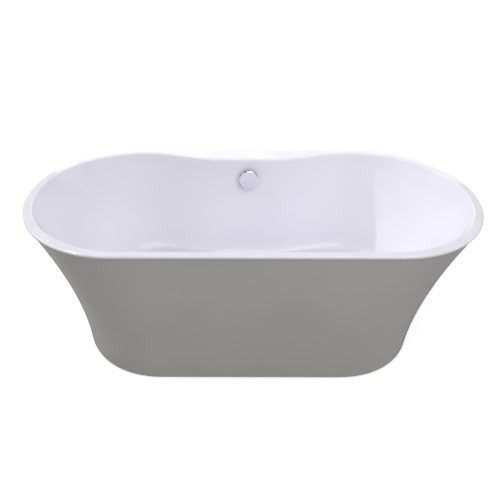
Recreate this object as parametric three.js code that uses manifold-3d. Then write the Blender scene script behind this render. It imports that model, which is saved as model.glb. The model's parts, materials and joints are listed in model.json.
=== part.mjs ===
// Freestanding double-ended bathtub: a white acrylic basin bonded into a flared outer skirt, carried on a
// steel frame with four levelling feet, with a tap deck on the rear rim, a rotary overflow knob on the rear
// wall and a pop-up waste in the floor that the knob works through a cable.
// Millimetres. +X runs along the tub, +Y points to the rear (the deck side), +Z is up.
// The origin is on the floor, under the middle of the rim.
import * as THREE from "three";
import { mergeVertices } from "three/addons/utils/BufferGeometryUtils.js";
import Module from "manifold-3d";

const wasm = await Module();
wasm.setup();

// ---------------------------------------------------------------- driving dimensions
const TUB_LENGTH = 1700;
const TUB_WIDTH = 800;
const TUB_HEIGHT = 600;
const RIM_END_DEPTH = 0.475 * TUB_WIDTH; // length of the rounded end of the rim, measured along X
const END_OVERHANG = 163; // how far each end of the rim reaches past the foot of the skirt
const SIDE_OVERHANG = 21;
const BASE_END_DEPTH = 0.44 * TUB_WIDTH;
const BASE_END_POWER = 2.17; // above 2 the base corners are a little squarer than an ellipse
const FLOOR_GAP = 4; // air under the skirt with the feet at their usual height
const SHELL = 5; // acrylic with its glass-fibre backing
const GAP = 0.3; // between pieces that touch

const RIM_WIDTH_FRONT = 33;
const RIM_WIDTH_REAR = 38;
const RIM_WIDTH_END = 35;
const DECK_WIDTH = 103.5; // rear rim where the taps stand
const DECK_FLAT_HALF = 125; // half length of the deck at full width
const MOUTH_END_DEPTH = RIM_END_DEPTH - 5; // length of the rounded end of the rim's inside edge
const DECK_END_HALF = TUB_LENGTH / 2 - RIM_WIDTH_END - MOUTH_END_DEPTH; // where the mouth begins to round
const RIM_OUTER_ROUND = 5;
const RIM_INNER_ROUND = 7;
const LIP_HEIGHT = 9; // the rim's turned-down edge
const SKIRT_SETBACK = 2.5; // the skirt stands this far inside the lip
const SKIRT_FLANGE = 20; // the skirt's inward flange under the rim
const BOND_INSET = 6; // the bonding bead lies this far in from the flange's outer edge
const BOND_WIDTH = 10;

const BASIN_FLOOR_Z = 152; // water side of the floor at its edge
const FLOOR_FALL = 5; // from the edge of the floor to the waste
const FLOOR_LENGTH = TUB_LENGTH - 620; // flat part of the floor
const FLOOR_WIDTH = TUB_WIDTH - 350;
const FLOOR_END_DEPTH = 0.522 * FLOOR_WIDTH;
const SIDE_COVE = 75; // radius between side wall and floor
const END_COVE = 90;
const SIDE_LEAN = THREE.MathUtils.degToRad(11);
const END_LEAN = THREE.MathUtils.degToRad(26.3);

const DRAIN_Y = 0.1 * TUB_WIDTH;
const DRAIN_RECESS_R = 46;
const DRAIN_RECESS_DEPTH = 3.5;
const DRAIN_HOLE_R = 26;
const OVERFLOW_DROP = 85; // overflow centre below the rim
const OVERFLOW_HOLE_R = 27;

const BOARD_THICK = 16;
const BOARD_LENGTH = FLOOR_LENGTH - 80;
const BOARD_WIDTH = FLOOR_WIDTH - 50;
const BOARD_CORNER_R = 60;
const BOARD_CUTOUT_R = 60;
const DECK_BOARD_LENGTH = 280;
const DECK_BOARD_THICK = 12;
const DECK_BOARD_GAP = 5; // to the back of the basin's wall

const TUBE = 25; // square steel tube
const TUBE_WALL = 2;
const RAIL_LENGTH = BOARD_LENGTH + 100;
const RAIL_Y = BOARD_WIDTH / 2 - 35;
const CROSS_X = 0.8 * (BOARD_LENGTH / 2);
const CROSS_END_GAP = 30; // from the end of a cross member to the inside of the skirt
const SCREW_R = 2.5;
const SCREW_HEAD_R = 5.5;
const SCREW_HEAD_H = 3;
const SCREW_CLEAR = 0.35;
const SCREW_BITE = 12; // how far a frame screw goes into the floor board

const FOOT_TO_BRACKET = 11; // from the middle of a foot to the bracket beside it
const STEM_R = 5;
const STEM_CLEAR = 0.4;
const STEM_ABOVE_FRAME = 34;
const NUT_FLATS = 17;
const NUT_HEIGHT = 8;
const PAD_R = 25;
const PAD_HEIGHT = 9;
const PAD_HUB_R = 10;
const PAD_HUB_TOP = 20;
const PAD_SOCKET_Z = 6;

const BRACKET_WIDTH = 40;
const BRACKET_THICK = 3;
const BRACKET_LEG = 64;
const BRACKET_RISE = 40;
const BRACKET_PAD_ROOM = 10; // between the bracket and the skirt at the middle of the bracket
const BRACKET_PAD_INSET = [3, 6, 4]; // how far the pad's sides, bottom and top stand in from the bracket's

const KNOB_R = 41;
const KNOB_BACK = 9; // knob rim above the wall
const KNOB_FRONT = 21;
const KNOB_BEVEL = 2.5;
const KNOB_WALL = 3;
const SEAT_R = 37;
const SEAT_TOP = 5;
const SPINDLE_R = 4;
const HUB_R = 8; // the knob's boss and the hub that guides the spindle
const SPOKE_HALF = 1.5; // half the width of the spokes that hold a hub
const CUP_WALL = 4;
const OVERFLOW_CUP_DEPTH = 42;
const CAM_R = 14;
const CAM_THICK = 4;
const CAM_PIN_R = 2;
const CAM_PIN_RISE = 6;
const PIN_OUT = 10; // from the spindle's axis to the pin that pulls the cable
const CAM_GAP = 8; // from the back of the overflow cup to the cam
const SPIGOT_WALL = 2.5;

const FLANGE_THICK = 2.3;
const PLUG_R = 33;
const PLUG_TOP = 10; // plug cap above the waste flange
const PLUG_STEM_R = 4;
const PLUG_LIFT = 10;
const PLUG_HUB_R = 7;
const SEAL_THICK = 2.2;
const PLUG_LIFT_ROOM = 0.7; // slack between the plug stem and the lever under it
const LEVER_ARM = 16;
const LEVER_SHAFT_R = 3;
const LEVER_HALF = 4; // half the width of the lever's arm and crank
const CRANK_DROP = 22;
const TEE_Z = 62; // centre of the branch that the overflow hose joins
const TEE_CUP_BOTTOM = 80;
const TEE_BOTTOM = 34;
const TEE_FLANGE = 8; // the waste body's flange under the floor reaches this far past its cup
const TEE_FLANGE_THICK = 4;
const TAIL_R = 19.6;
const TAIL_BOTTOM = 5;
const TAIL_WALL = 2.4;
const TAIL_NUT_DROP = 16;
const TAIL_NUT_GRIP = 10;
const TAIL_NUT_WALL = 5;
const HOSE_R = 19;
const HOSE_WALL = 3.5;
const HOSE_SIDES = 12;
const HOSE_NUT_R = 24.5;
const HOSE_NUT_LENGTH = 22;
const HOSE_BEND = 70;
const CABLE_R = 2.5;
const CABLE_Z = 90;
const LUG_REAR = 17; // rear face of the lug that the cable ends on, behind the waste's centre

// ---------------------------------------------------------------- derived sizes
const BASE_LENGTH = TUB_LENGTH - 2 * END_OVERHANG;
const BASE_WIDTH = TUB_WIDTH - 2 * SIDE_OVERHANG;
const SKIRT_TOP = TUB_HEIGHT - LIP_HEIGHT - GAP;
const RIM_UNDERSIDE = TUB_HEIGHT - SHELL;
const DRAIN_EDGE_Z = BASIN_FLOOR_Z - FLOOR_FALL; // floor beside the recess
const RECESS_Z = DRAIN_EDGE_Z - DRAIN_RECESS_DEPTH;
const RECESS_FLOOR_R = DRAIN_RECESS_R - DRAIN_RECESS_DEPTH;
const OVERFLOW_Z = TUB_HEIGHT - OVERFLOW_DROP;
const BOARD_TOP = DRAIN_EDGE_Z - SHELL - GAP;
const RAIL_TOP = BOARD_TOP - BOARD_THICK - GAP;
const CROSS_TOP = RAIL_TOP - TUBE - GAP;
const CROSS_BOTTOM = CROSS_TOP - TUBE;

// ---------------------------------------------------------------- materials
const paint = (color, roughness, metalness = 0) =>
  new THREE.MeshStandardMaterial({ color, roughness, metalness });
const MATERIALS = {
  whiteAcrylic: paint(0xf2f0f4, 0.12),
  greyAcrylic: paint(0xbcb9b4, 0.15),
  chrome: paint(0xdadce4, 0.08, 1),
  steel: paint(0x9ea3a6, 0.4, 1),
  board: paint(0xb98f5f, 0.8),
  polypropylene: paint(0xe9e9e6, 0.5),
  blackPlastic: paint(0x26272a, 0.6),
  rubber: paint(0x1b1b1d, 0.85),
  adhesive: paint(0xd8d5cc, 0.7),
};

// ---------------------------------------------------------------- solids
// A closed three.js geometry as a manifold solid.
function solid(geometry) {
  const bare = new THREE.BufferGeometry();
  bare.setAttribute("position", geometry.getAttribute("position"));
  if (geometry.index) bare.setIndex(geometry.index);
  const merged = mergeVertices(bare, 1e-3);
  const vertProperties = new Float32Array(merged.getAttribute("position").array);
  const triVerts = new Uint32Array(merged.index.array);
  return new wasm.Manifold(new wasm.Mesh({ numProp: 3, vertProperties, triVerts }));
}

// A manifold solid as a three.js geometry.
function geometryOf(shape) {
  const mesh = shape.getMesh();
  const geometry = new THREE.BufferGeometry();
  geometry.setAttribute("position", new THREE.BufferAttribute(mesh.vertProperties, 3));
  geometry.setIndex(new THREE.BufferAttribute(mesh.triVerts, 1));
  geometry.computeVertexNormals();
  return geometry;
}

const moved = (geometry, x, y, z) => geometry.translate(x, y, z);

// A block between two corners.
function block(low, high) {
  const size = high.map((value, axis) => value - low[axis]);
  const middle = high.map((value, axis) => (value + low[axis]) / 2);
  return solid(moved(new THREE.BoxGeometry(...size), ...middle));
}

// An upright rod or disc on the Z axis, from one level to another.
function rod(radius, bottom, top, sides = 24) {
  const geometry = new THREE.CylinderGeometry(radius, radius, top - bottom, sides);
  return solid(moved(geometry.rotateX(Math.PI / 2), 0, 0, (bottom + top) / 2));
}

// A profile of [radius, height] points turned round the Z axis. The points run round the section so that
// their last joins their first.
function turned(profile, sides = 28) {
  const points = [...profile, profile[0]].map(([r, z]) => new THREE.Vector2(r, z));
  return solid(new THREE.LatheGeometry(points, sides).rotateX(Math.PI / 2));
}

const ring = (inner, outer, bottom, top, sides = 28) =>
  turned([[inner, bottom], [outer, bottom], [outer, top], [inner, top]], sides);

// A rod along +Y from one place to another, at height z.
function rodAlongY(radius, from, to, z, sides = 24) {
  const geometry = new THREE.CylinderGeometry(radius, radius, to - from, sides);
  return solid(moved(geometry, 0, (from + to) / 2, z));
}

// A rod along X, centred on the YZ plane.
function rodAlongX(radius, length, y, z, sides = 16) {
  const geometry = new THREE.CylinderGeometry(radius, radius, length, sides);
  return solid(moved(geometry.rotateZ(Math.PI / 2), 0, y, z));
}

// ---------------------------------------------------------------- assembly
const tub = new THREE.Group();

function add(name, shape, material) {
  const mesh = new THREE.Mesh(geometryOf(shape), material);
  mesh.name = name;
  tub.add(mesh);
}

// ---------------------------------------------------------------- outlines in plan
const END_STEPS = 20;
const SIDE_STEPS = 14;

// A long outline with straight sides and rounded ends, as [x, y, end] points taken anticlockwise from the
// front right corner. end runs from 0 on the straight sides to 1 at the tips.
function outline({ halfLength, halfWidth, endDepth, power = 2 }) {
  const straight = halfLength - endDepth;
  const points = [];
  const arc = (side) => {
    for (let i = 0; i < END_STEPS; i++) {
      const angle = -Math.PI / 2 + (Math.PI * i) / END_STEPS;
      const along = Math.max(Math.cos(angle), 0) ** (2 / power);
      const across = Math.sign(Math.sin(angle)) * Math.abs(Math.sin(angle)) ** (2 / power);
      points.push([side * (straight + endDepth * along), side * halfWidth * across, Math.cos(angle) ** 2]);
    }
  };
  const side = (sign) => {
    for (let i = 0; i < SIDE_STEPS; i++) {
      points.push([sign * straight * (1 - (2 * i) / SIDE_STEPS), sign * halfWidth, 0]);
    }
  };
  arc(1);
  side(1);
  arc(-1);
  side(-1);
  return points;
}

// Joins rings of points into one closed ring-shaped skin. The last ring joins the first.
function looped(rings) {
  const count = rings[0].length;
  const vertices = rings.flat(2);
  const index = [];
  rings.forEach((_, level) => {
    const above = ((level + 1) % rings.length) * count;
    const here = level * count;
    for (let i = 0; i < count; i++) {
      const next = (i + 1) % count;
      index.push(here + i, here + next, above + next, here + i, above + next, above + i);
    }
  });
  const geometry = new THREE.BufferGeometry();
  geometry.setAttribute("position", new THREE.Float32BufferAttribute(vertices, 3));
  geometry.setIndex(index);
  return solid(geometry);
}

// ---------------------------------------------------------------- skirt
const SKIRT_SIDES = {
  base: {
    halfLength: BASE_LENGTH / 2,
    halfWidth: BASE_WIDTH / 2,
    endDepth: BASE_END_DEPTH,
    power: BASE_END_POWER,
  },
  top: {
    halfLength: TUB_LENGTH / 2 - SKIRT_SETBACK,
    halfWidth: TUB_WIDTH / 2 - SKIRT_SETBACK,
    endDepth: RIM_END_DEPTH - SKIRT_SETBACK,
    power: 2,
  },
};

// The skirt's outline at a height, drawn in by an inset. The flare grows as the square of the height.
function skirtOutline(z, inset) {
  const flare = (z / SKIRT_TOP) ** 2;
  const { base, top } = SKIRT_SIDES;
  const at = (key) => THREE.MathUtils.lerp(base[key], top[key], flare);
  return outline({
    halfLength: at("halfLength") - inset,
    halfWidth: at("halfWidth") - inset,
    endDepth: at("endDepth") - inset,
    power: at("power"),
  });
}

const skirtRing = (z, inset) => skirtOutline(z, inset).map(([x, y]) => [x, y, z]);

function skirtShell() {
  const share = [0, 0.2, 0.4, 0.58, 0.74, 0.88, 1];
  const outer = share.map((t) => THREE.MathUtils.lerp(FLOOR_GAP, SKIRT_TOP, t));
  const inner = share.map((t) => THREE.MathUtils.lerp(FLOOR_GAP, SKIRT_TOP - SHELL, t)).reverse();
  const flangeEdge = skirtOutline(SKIRT_TOP, SKIRT_FLANGE);
  return looped([
    ...outer.map((z) => skirtRing(z, 0)),
    flangeEdge.map(([x, y]) => [x, y, SKIRT_TOP]),
    flangeEdge.map(([x, y]) => [x, y, SKIRT_TOP - SHELL]),
    ...inner.map((z) => skirtRing(z, SHELL)),
  ]);
}

function bondBead() {
  const bottom = SKIRT_TOP + GAP;
  const top = RIM_UNDERSIDE - GAP;
  const level = (inset, z) => skirtOutline(SKIRT_TOP, inset).map(([x, y]) => [x, y, z]);
  const inner = BOND_INSET + BOND_WIDTH;
  const [outerLow, outerHigh] = [level(BOND_INSET, bottom), level(BOND_INSET, top)];
  return looped([outerLow, outerHigh, level(inner, top), level(inner, bottom)]);
}

add("skirt_shell", skirtShell(), MATERIALS.greyAcrylic);
add("rim_bond_bead", bondBead(), MATERIALS.adhesive);

// ---------------------------------------------------------------- basin
const smooth = (t) => t * t * (3 - 2 * t);

// How far the deck narrows the basin at x, from 0 at the plain rim to 1 at the full deck.
function deckShare(x) {
  const t = (DECK_END_HALF - Math.abs(x)) / (DECK_END_HALF - DECK_FLAT_HALF);
  return smooth(THREE.MathUtils.clamp(t, 0, 1));
}

// The inside edge of the rim, let out by an amount.
function mouthOutline(out) {
  const plain = outline({
    halfLength: TUB_LENGTH / 2 - RIM_WIDTH_END + out,
    halfWidth: 1,
    endDepth: MOUTH_END_DEPTH + out,
  });
  return plain.map(([x, y, end]) => {
    const rimWidth = y < 0 ? RIM_WIDTH_FRONT : RIM_WIDTH_REAR;
    const straightRear = y > 0 && end < 1e-6;
    const deck = straightRear ? deckShare(x) * (DECK_WIDTH - RIM_WIDTH_REAR) : 0;
    return [x, y * (TUB_WIDTH / 2 - rimWidth + out - deck), end];
  });
}

const floorOutline = outline({
  halfLength: FLOOR_LENGTH / 2,
  halfWidth: FLOOR_WIDTH / 2,
  endDepth: FLOOR_END_DEPTH,
});

// One wall profile from the rim down to the floor: the share of the way in from mouth to floor outline, and
// the height, at each station. thick is 0 on the water side and the shell's thickness on the back.
function wallStations({ travel, cove, lean, thick }) {
  const floorZ = BASIN_FLOOR_Z - thick;
  const radius = cove + thick;
  const topZ = TUB_HEIGHT - RIM_INNER_ROUND;
  const span = travel + thick;
  const coveShare = 1 - (radius * Math.cos(lean)) / span;
  const coveZ = floorZ + radius * (1 - Math.sin(lean));
  const wall = [0, 0.3, 0.65, 1].map((t) => [coveShare * t, THREE.MathUtils.lerp(topZ, coveZ, t)]);
  const turn = [0.25, 0.5, 0.75, 1].map((t) => {
    const angle = lean + (Math.PI / 2 - lean) * t;
    return [1 - (radius * Math.cos(angle)) / span, floorZ + radius * (1 - Math.sin(angle))];
  });
  return [...wall, ...turn];
}

// The rings of one face of the basin, from the rim's edge to the waste hole.
function basinWall(thick) {
  const mouth = mouthOutline(thick);
  const side = wallStations({
    travel: TUB_WIDTH / 2 - RIM_WIDTH_FRONT - FLOOR_WIDTH / 2,
    cove: SIDE_COVE,
    lean: SIDE_LEAN,
    thick,
  });
  const tip = wallStations({
    travel: TUB_LENGTH / 2 - RIM_WIDTH_END - FLOOR_LENGTH / 2,
    cove: END_COVE,
    lean: END_LEAN,
    thick,
  });
  const rings = side.map(([sideShare, sideZ], station) => {
    const [tipShare, tipZ] = tip[station];
    return mouth.map(([x, y, end], i) => [
      THREE.MathUtils.lerp(x, floorOutline[i][0], THREE.MathUtils.lerp(sideShare, tipShare, end)),
      THREE.MathUtils.lerp(y, floorOutline[i][1], sideShare),
      THREE.MathUtils.lerp(sideZ, tipZ, end),
    ]);
  });
  const circle = (radius, z) =>
    floorOutline.map((_, i) => {
      const angle = (2 * Math.PI * (i - END_STEPS / 2)) / floorOutline.length;
      return [radius * Math.cos(angle), DRAIN_Y + radius * Math.sin(angle), z - thick];
    });
  return [
    ...rings,
    circle(DRAIN_RECESS_R, DRAIN_EDGE_Z),
    circle(RECESS_FLOOR_R, RECESS_Z),
    circle(DRAIN_HOLE_R, RECESS_Z),
  ];
}

// The wall's line behind the overflow, and its lean back from upright.
function rearWall() {
  const rings = basinWall(0);
  const middle = rings[0].findIndex(([x, y]) => Math.abs(x) < 1e-6 && y > 0);
  const [, topY, topZ] = rings[0][middle];
  const [, lowY, lowZ] = rings[3][middle];
  const lean = Math.atan2(topY - lowY, topZ - lowZ);
  return { y: topY - (topZ - OVERFLOW_Z) * Math.tan(lean), lean };
}

const OVERFLOW = rearWall();

// Moves a shape made about the Z axis onto the rear wall: its +Z points out of the wall into the basin, its
// +Y points up the wall, and its origin lies on the water side of the wall.
function onRearWall(shape) {
  const place = new THREE.Matrix4().makeRotationX(Math.PI / 2 - OVERFLOW.lean);
  place.setPosition(0, OVERFLOW.y, OVERFLOW_Z);
  return solid(geometryOf(shape).applyMatrix4(place));
}

function basinShell() {
  const rim = { halfLength: TUB_LENGTH / 2, halfWidth: TUB_WIDTH / 2, endDepth: RIM_END_DEPTH };
  const edge = (inset, z) =>
    outline({
      halfLength: rim.halfLength - inset,
      halfWidth: rim.halfWidth - inset,
      endDepth: rim.endDepth - inset,
    }).map(([x, y]) => [x, y, z]);
  const mouth = (out, z) => mouthOutline(out).map(([x, y]) => [x, y, z]);
  const half = 1 - Math.SQRT1_2;
  const water = basinWall(0);
  const back = basinWall(SHELL).reverse();
  const shell = looped([
    edge(0, TUB_HEIGHT - LIP_HEIGHT),
    edge(0, TUB_HEIGHT - RIM_OUTER_ROUND),
    edge(RIM_OUTER_ROUND * half, TUB_HEIGHT - RIM_OUTER_ROUND * half),
    edge(RIM_OUTER_ROUND, TUB_HEIGHT),
    mouth(RIM_INNER_ROUND, TUB_HEIGHT),
    mouth(RIM_INNER_ROUND * half, TUB_HEIGHT - RIM_INNER_ROUND * half),
    ...water,
    ...back,
    mouth(SHELL + GAP, RIM_UNDERSIDE),
    edge(SHELL, RIM_UNDERSIDE),
    edge(SHELL, TUB_HEIGHT - LIP_HEIGHT),
  ]);
  return shell.subtract(onRearWall(rod(OVERFLOW_HOLE_R, -4 * SHELL, 4 * SHELL, 32)));
}

add("basin_shell", basinShell(), MATERIALS.whiteAcrylic);

// ---------------------------------------------------------------- boards
function roundedPlate(halfLength, halfWidth, radius, thick) {
  const shape = new THREE.Shape();
  shape.moveTo(radius - halfLength, -halfWidth);
  shape.lineTo(halfLength - radius, -halfWidth);
  shape.absarc(halfLength - radius, radius - halfWidth, radius, -Math.PI / 2, 0);
  shape.absarc(halfLength - radius, halfWidth - radius, radius, 0, Math.PI / 2);
  shape.absarc(radius - halfLength, halfWidth - radius, radius, Math.PI / 2, Math.PI);
  shape.absarc(radius - halfLength, radius - halfWidth, radius, Math.PI, 1.5 * Math.PI);
  return solid(new THREE.ExtrudeGeometry(shape, { depth: thick, bevelEnabled: false, curveSegments: 6 }));
}

// The places of the long screws that hold cross member, rail and floor board together.
const FRAME_SCREWS = [-1, 1].flatMap((sx) => [-1, 1].map((sy) => [sx * CROSS_X, sy * RAIL_Y]));
const SCREW_TIP = BOARD_TOP - BOARD_THICK + SCREW_BITE;

const screwHole = ([x, y], bottom, top) => rod(SCREW_R + SCREW_CLEAR, bottom, top, 10).translate([x, y, 0]);

function floorBoard() {
  let board = roundedPlate(BOARD_LENGTH / 2, BOARD_WIDTH / 2, BOARD_CORNER_R, BOARD_THICK);
  board = board.translate([0, 0, BOARD_TOP - BOARD_THICK]);
  board = board.subtract(rod(BOARD_CUTOUT_R, RAIL_TOP, BOARD_TOP + 1, 32).translate([0, DRAIN_Y, 0]));
  for (const place of FRAME_SCREWS) {
    board = board.subtract(screwHole(place, RAIL_TOP, SCREW_TIP + GAP));
  }
  return board;
}

function deckBoard() {
  const rear = TUB_WIDTH / 2 - SKIRT_SETBACK - SKIRT_FLANGE - 2 * DECK_BOARD_GAP;
  const front = TUB_WIDTH / 2 - DECK_WIDTH + SHELL + DECK_BOARD_GAP;
  const top = RIM_UNDERSIDE - GAP;
  return block([-DECK_BOARD_LENGTH / 2, front, top - DECK_BOARD_THICK], [DECK_BOARD_LENGTH / 2, rear, top]);
}

add("floor_board", floorBoard(), MATERIALS.board);
add("deck_board", deckBoard(), MATERIALS.board);

// ---------------------------------------------------------------- frame and skirt brackets
// The inside of the skirt beside a bracket.
const SKIRT_INSIDE_Y = (() => {
  const points = skirtOutline(CROSS_TOP, SHELL).filter(([, y]) => y > 0);
  const [, y] = points.reduce((best, point) =>
    Math.abs(point[0] - CROSS_X) < Math.abs(best[0] - CROSS_X) ? point : best);
  return y;
})();
const CROSS_LENGTH = 2 * (SKIRT_INSIDE_Y - CROSS_END_GAP);
const BRACKET_OUTER_Y = SKIRT_INSIDE_Y - BRACKET_PAD_ROOM;
const FOOT_Y = BRACKET_OUTER_Y - BRACKET_LEG - FOOT_TO_BRACKET;
const BRACKET_SCREW_Y = BRACKET_OUTER_Y - 0.62 * BRACKET_LEG;

function railTube(sy) {
  const [front, rear] = [sy * RAIL_Y - TUBE / 2, sy * RAIL_Y + TUBE / 2];
  const bottom = RAIL_TOP - TUBE;
  const hollow = block(
    [-RAIL_LENGTH, front + TUBE_WALL, bottom + TUBE_WALL],
    [RAIL_LENGTH, rear - TUBE_WALL, RAIL_TOP - TUBE_WALL]);
  let tube = block([-RAIL_LENGTH / 2, front, bottom], [RAIL_LENGTH / 2, rear, RAIL_TOP]).subtract(hollow);
  for (const place of FRAME_SCREWS) {
    tube = tube.subtract(screwHole(place, bottom - 1, RAIL_TOP + 1));
  }
  return tube;
}

function crossTube(sx) {
  const [left, right] = [sx * CROSS_X - TUBE / 2, sx * CROSS_X + TUBE / 2];
  let tube = block([left, -CROSS_LENGTH / 2, CROSS_BOTTOM], [right, CROSS_LENGTH / 2, CROSS_TOP]).subtract(
    block(
      [left + TUBE_WALL, -CROSS_LENGTH, CROSS_BOTTOM + TUBE_WALL],
      [right - TUBE_WALL, CROSS_LENGTH, CROSS_TOP - TUBE_WALL]));
  for (const place of FRAME_SCREWS) tube = tube.subtract(screwHole(place, CROSS_BOTTOM - 1, CROSS_TOP + 1));
  for (const sy of [-1, 1]) {
    const bore = rod(STEM_R + STEM_CLEAR, CROSS_BOTTOM - 1, CROSS_TOP + 1, 20);
    tube = tube.subtract(bore.translate([sx * CROSS_X, sy * FOOT_Y, 0]));
    const place = [sx * CROSS_X, sy * BRACKET_SCREW_Y];
    tube = tube.subtract(screwHole(place, CROSS_TOP - 3 * TUBE_WALL, CROSS_TOP + 1));
  }
  return tube;
}

// A screw with its head down (facing = -1) or up (facing = 1), the head resting at seat.
function screw(x, y, seat, tip, facing) {
  const head = seat + facing * GAP;
  const top = head + facing * SCREW_HEAD_H;
  const shank = rod(SCREW_R, Math.min(head, tip) - 0.01, Math.max(head, tip) + 0.01, 12);
  return shank.add(rod(SCREW_HEAD_R, Math.min(head, top), Math.max(head, top), 16)).translate([x, y, 0]);
}

function skirtBracket(sx, sy) {
  const low = CROSS_TOP + GAP;
  const half = BRACKET_WIDTH / 2;
  const inner = BRACKET_OUTER_Y - BRACKET_LEG;
  let bracket = block([-half, inner, low], [half, BRACKET_OUTER_Y, low + BRACKET_THICK]);
  const upright = block(
    [-half, BRACKET_OUTER_Y - BRACKET_THICK, low],
    [half, BRACKET_OUTER_Y, low + BRACKET_RISE]);
  bracket = bracket.add(upright);
  bracket = bracket.subtract(screwHole([0, BRACKET_SCREW_Y], low - 1, low + BRACKET_THICK + 1));
  if (sy < 0) bracket = bracket.rotate([0, 0, 180]);
  return bracket.translate([sx * CROSS_X, 0, 0]);
}

// A block of adhesive that fills the room between a bracket and the curved inside of the skirt.
function bracketPad(sx, sy) {
  const [sideInset, lowInset, topInset] = BRACKET_PAD_INSET;
  const low = CROSS_TOP + GAP + lowInset;
  const high = CROSS_TOP + GAP + BRACKET_RISE - topInset;
  const half = BRACKET_WIDTH / 2 - sideInset;
  const near = BRACKET_OUTER_Y + GAP;
  const far = near + 3 * BRACKET_PAD_ROOM;
  const [front, rear] = sy > 0 ? [near, far] : [-far, -near];
  const inside = new THREE.Shape(skirtOutline(low, SHELL + GAP).map(([x, y]) => new THREE.Vector2(x, y)));
  const core = solid(new THREE.ExtrudeGeometry(inside, { depth: TUB_HEIGHT, bevelEnabled: false }));
  return block([sx * CROSS_X - half, front, low], [sx * CROSS_X + half, rear, high]).intersect(core);
}

add("rail_front", railTube(-1), MATERIALS.steel);
add("rail_rear", railTube(1), MATERIALS.steel);
add("cross_left", crossTube(-1), MATERIALS.steel);
add("cross_right", crossTube(1), MATERIALS.steel);

const CORNERS = [
  ["front_left", -1, -1],
  ["front_right", 1, -1],
  ["rear_left", -1, 1],
  ["rear_right", 1, 1],
];
for (const [corner, sx, sy] of CORNERS) {
  const x = sx * CROSS_X;
  add(`frame_screw_${corner}`, screw(x, sy * RAIL_Y, CROSS_BOTTOM, SCREW_TIP, -1), MATERIALS.steel);
  add(`bracket_${corner}`, skirtBracket(sx, sy), MATERIALS.steel);
  add(`bracket_pad_${corner}`, bracketPad(sx, sy), MATERIALS.adhesive);
  const seat = CROSS_TOP + GAP + BRACKET_THICK;
  const tip = CROSS_TOP - TUBE_WALL - 3;
  add(`bracket_screw_${corner}`, screw(x, sy * BRACKET_SCREW_Y, seat, tip, 1), MATERIALS.steel);
}

// ---------------------------------------------------------------- levelling feet
const STEM_TOP = CROSS_TOP + STEM_ABOVE_FRAME;

function hexNut(bottom) {
  const bore = rod(STEM_R + STEM_CLEAR, bottom - 1, bottom + NUT_HEIGHT + 1, 20);
  return rod(NUT_FLATS / Math.sqrt(3), bottom, bottom + NUT_HEIGHT, 6).subtract(bore);
}

function footStem() {
  return rod(STEM_R, PAD_SOCKET_Z, STEM_TOP, 20).add(rod(PAD_HUB_R, PAD_HUB_TOP + GAP, PAD_HUB_TOP + 5, 6));
}

function footPad() {
  const socket = rod(STEM_R + GAP, PAD_SOCKET_Z - GAP, PAD_HUB_TOP + 1, 20);
  return rod(PAD_R, 0, PAD_HEIGHT, 28).add(rod(PAD_HUB_R, 0, PAD_HUB_TOP, 20)).subtract(socket);
}

for (const [corner, sx, sy] of CORNERS) {
  const place = [sx * CROSS_X, sy * FOOT_Y, 0];
  add(`foot_pad_${corner}`, footPad().translate(place), MATERIALS.blackPlastic);
  add(`foot_stem_${corner}`, footStem().translate(place), MATERIALS.steel);
  add(`foot_nut_${corner}`, hexNut(CROSS_BOTTOM - GAP - NUT_HEIGHT).translate(place), MATERIALS.steel);
}

// ---------------------------------------------------------------- overflow
// Sizes along the wall's own axis, which points out of the wall: the wall itself lies between -SHELL and 0.
const WASHER = 1.2;
const GASKET = 2.5;
const SEAT_TUBE_R = OVERFLOW_HOLE_R - 1.2;
const SEAT_BORE = SEAT_TUBE_R - 2.8;
const SEAT_BACK = -4 * SHELL;
const KNOB_INSIDE = KNOB_FRONT - KNOB_WALL;
const CUP_FACE = -SHELL - 2 * GAP - GASKET;
const CUP_BACK = CUP_FACE - OVERFLOW_CUP_DEPTH;
const CUP_R = SEAT_R;
const SPIGOT_Z = -SHELL - HOSE_NUT_R - 3;
const SPIGOT_R = (HOSE_R - HOSE_WALL) * Math.cos(Math.PI / HOSE_SIDES) - GAP;
const SPIGOT_END = CUP_R + 32;

// A hub held by three spokes across a bore.
function spider(hubR, boreR, holeR, bottom, top) {
  let web = rod(hubR, bottom, top, 20);
  for (const degrees of [90, 210, 330]) {
    web = web.add(block([0, -SPOKE_HALF, bottom], [boreR + 0.5, SPOKE_HALF, top]).rotate([0, 0, degrees]));
  }
  return web.subtract(rod(holeR, bottom - 1, top + 1, 20));
}

function overflowSeat() {
  const low = GAP + WASHER + GAP;
  const shell = turned([
    [SEAT_BORE, SEAT_BACK],
    [SEAT_TUBE_R, SEAT_BACK],
    [SEAT_TUBE_R, low],
    [SEAT_R, low],
    [SEAT_R, SEAT_TOP - 1],
    [SEAT_R - 1, SEAT_TOP],
    [SEAT_BORE, SEAT_TOP],
  ]);
  return shell.add(spider(HUB_R, SEAT_BORE, SPINDLE_R + GAP, -4, 1));
}

function overflowKnob() {
  const cap = turned([
    [KNOB_R - KNOB_WALL, KNOB_BACK],
    [KNOB_R, KNOB_BACK],
    [KNOB_R, KNOB_FRONT - KNOB_BEVEL],
    [KNOB_R - KNOB_BEVEL, KNOB_FRONT],
    [HUB_R - 2, KNOB_FRONT],
    [HUB_R - 2, KNOB_INSIDE],
    [KNOB_R - KNOB_WALL, KNOB_INSIDE],
  ], 36);
  const boss = rod(HUB_R, KNOB_BACK, KNOB_FRONT, 20).subtract(rod(SPINDLE_R + GAP, 0, KNOB_INSIDE, 20));
  return cap.add(boss);
}

function overflowSpindle() {
  const back = CUP_BACK + CAM_GAP;
  const pin = rod(CAM_PIN_R, back, back + CAM_THICK + CAM_PIN_RISE, 12).translate([PIN_OUT, 0, 0]);
  const cam = rod(CAM_R, back, back + CAM_THICK, 28);
  return rod(SPINDLE_R, back, KNOB_INSIDE - GAP, 20).add(cam).add(pin);
}

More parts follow.
